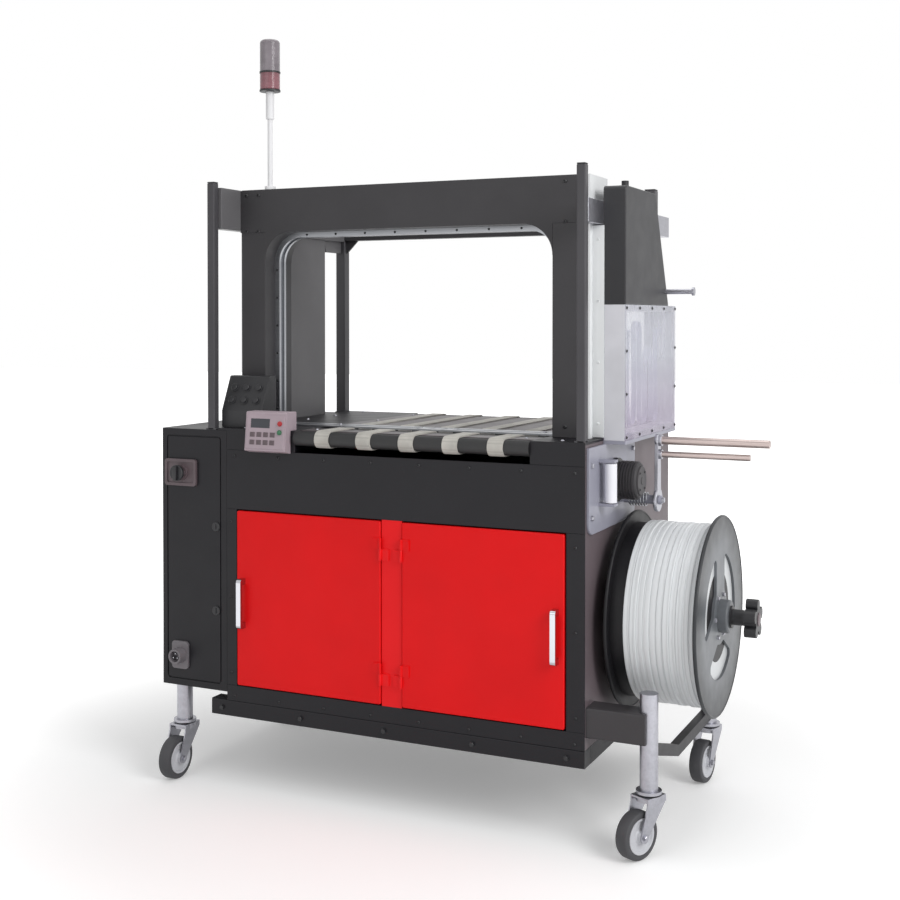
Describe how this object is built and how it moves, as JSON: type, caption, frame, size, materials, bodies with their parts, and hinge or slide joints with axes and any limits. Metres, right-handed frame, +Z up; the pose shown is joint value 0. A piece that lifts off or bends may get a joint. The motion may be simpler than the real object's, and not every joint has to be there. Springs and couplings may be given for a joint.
{
  "type": "arch strapping machine",
  "caption": "Free-standing arch strapping machine on casters, with a cabinet under a belt table, a guard frame, a side strap reel and a signal lamp.",
  "frame": {"origin": "on the floor, under the middle of the machine's box", "axes": "+X to the right, towards the reel; +Y to the back; +Z up"},
  "size_m": [1.41, 0.692, 1.78],
  "materials": {
    "black_paint": "black powder coat, fine grain",
    "frame_paint": "dark grey powder coat",
    "post_paint": "mid grey paint",
    "red_paint": "red gloss powder coat",
    "steel": "brushed stainless",
    "zinc": "zinc plated",
    "chrome": "bright plated",
    "belt": "light grey belt",
    "light_plastic": "light grey plastic",
    "black_plastic": "black plastic",
    "nylon": "white nylon",
    "clear_sheet": "clear sheet",
    "smoke_lens": "smoke grey lens",
    "red_lens": "dark red lens",
    "flange_black": "black satin paint",
    "flange_grey": "grey satin paint",
    "strap": "white strap, wound",
    "bar_steel": "turned steel bar",
    "tyre": "grey-black tread"
  },
  "bodies": {
    "machine": {"arch_beam": "frame_paint", "arch_legs": "frame_paint", "arch_side_plate": "zinc", "back_wall": "black_paint", "base_rails": "black_paint", "cabinet_floor": "black_paint", "caster_stems": "zinc", "centre_post": "red_paint", "control_cabinet": "black_paint", "control_console": "black_plastic", "control_panel": "light_plastic", "corner_posts": "post_paint", "door_sill": "black_paint", "feed_bracket": "zinc", "front_apron": "black_paint", "front_stiles": "black_paint", "guide_roller": "nylon", "head_plate": "steel", "left_side_panel": "frame_paint", "left_side_rail": "frame_paint", "main_switch": "light_plastic", "outrigger_arms": "black_paint", "outrigger_tie": "black_paint", "power_inlet": "light_plastic", "rear_beam": "frame_paint", "reel_bearing": "black_paint", "reel_brake": "frame_paint", "right_side_rail": "zinc", "side_walls": "black_paint", "signal_lamp_red": "red_lens", "signal_lamp_upper": "smoke_lens", "signal_pole": "zinc", "store_cover": "frame_paint", "store_frame": "zinc", "store_guide_pin": "zinc", "store_windows": "clear_sheet", "strap_track": "steel", "table_beds": "black_paint", "table_belts": "belt", "table_ends": "black_paint", "table_rollers": "steel"},
    "left_door": {"left_door": "red_paint", "left_handle": "chrome"},
    "right_door": {"right_door": "red_paint", "right_handle": "chrome"},
    "reel": {"reel_shaft": "steel", "reel_inner_flange": "flange_black", "reel_outer_flange": "flange_grey", "strap_coil": "strap", "reel_knob": "black_plastic"},
    "payoff_arm": {"payoff_lever": "zinc", "payoff_bars": "bar_steel"},
    "caster_front_left": {"caster_fork_front_left": "zinc"},
    "wheel_front_left": {"caster_wheel_front_left": "tyre"},
    "caster_front_right": {"caster_fork_front_right": "zinc"},
    "wheel_front_right": {"caster_wheel_front_right": "tyre"},
    "caster_rear_left": {"caster_fork_rear_left": "zinc"},
    "wheel_rear_left": {"caster_wheel_rear_left": "tyre"},
    "caster_rear_right": {"caster_fork_rear_right": "zinc"},
    "wheel_rear_right": {"caster_wheel_rear_right": "tyre"}
  },
  "joints": [
    {"name": "left_door_hinge", "type": "hinge", "parent": "machine", "child": "left_door", "pos_m": [-0.104, -0.301, 0.45], "axis": [0, 0, 1], "range_deg": [0, 90]},
    {"name": "right_door_hinge", "type": "hinge", "parent": "machine", "child": "right_door", "pos_m": [-0.052, -0.301, 0.45], "axis": [0, 0, -1], "range_deg": [0, 90]},
    {"name": "reel_spin", "type": "hinge", "parent": "machine", "child": "reel", "pos_m": [0.5, -0.037, 0.459], "axis": [1, 0, 0], "continuous": true},
    {"name": "payoff_swing", "type": "hinge", "parent": "machine", "child": "payoff_arm", "pos_m": [0.456, -0.037, 0.705], "axis": [-1, 0, 0], "range_deg": [0, 40], "stiffness_Nm_per_rad": 1.6, "springref_deg": -45.84},
    {"name": "swivel_front_left", "type": "hinge", "parent": "machine", "child": "caster_front_left", "pos_m": [-0.665, -0.258, 0.126], "axis": [0, 0, 1], "continuous": true},
    {"name": "roll_front_left", "type": "hinge", "parent": "caster_front_left", "child": "wheel_front_left", "pos_m": [-0.665, -0.296, 0.05], "axis": [-1, 0, 0], "continuous": true},
    {"name": "swivel_front_right", "type": "hinge", "parent": "machine", "child": "caster_front_right", "pos_m": [0.502, -0.258, 0.126], "axis": [0, 0, 1], "continuous": true},
    {"name": "roll_front_right", "type": "hinge", "parent": "caster_front_right", "child": "wheel_front_right", "pos_m": [0.48594, -0.29244, 0.05], "axis": [-0.9063, 0.4226, 0], "continuous": true},
    {"name": "swivel_rear_left", "type": "hinge", "parent": "machine", "child": "caster_rear_left", "pos_m": [-0.665, 0.25, 0.126], "axis": [0, 0, 1], "continuous": true},
    {"name": "roll_rear_left", "type": "hinge", "parent": "caster_rear_left", "child": "wheel_rear_left", "pos_m": [-0.6584, 0.21258, 0.05], "axis": [-0.9848, -0.1736, 0], "continuous": true},
    {"name": "swivel_rear_right", "type": "hinge", "parent": "machine", "child": "caster_rear_right", "pos_m": [0.502, 0.25, 0.126], "axis": [0, 0, 1], "continuous": true},
    {"name": "roll_rear_right", "type": "hinge", "parent": "caster_rear_right", "child": "wheel_rear_right", "pos_m": [0.49671, 0.21237, 0.05], "axis": [-0.9903, 0.1392, 0], "continuous": true}
  ]
}
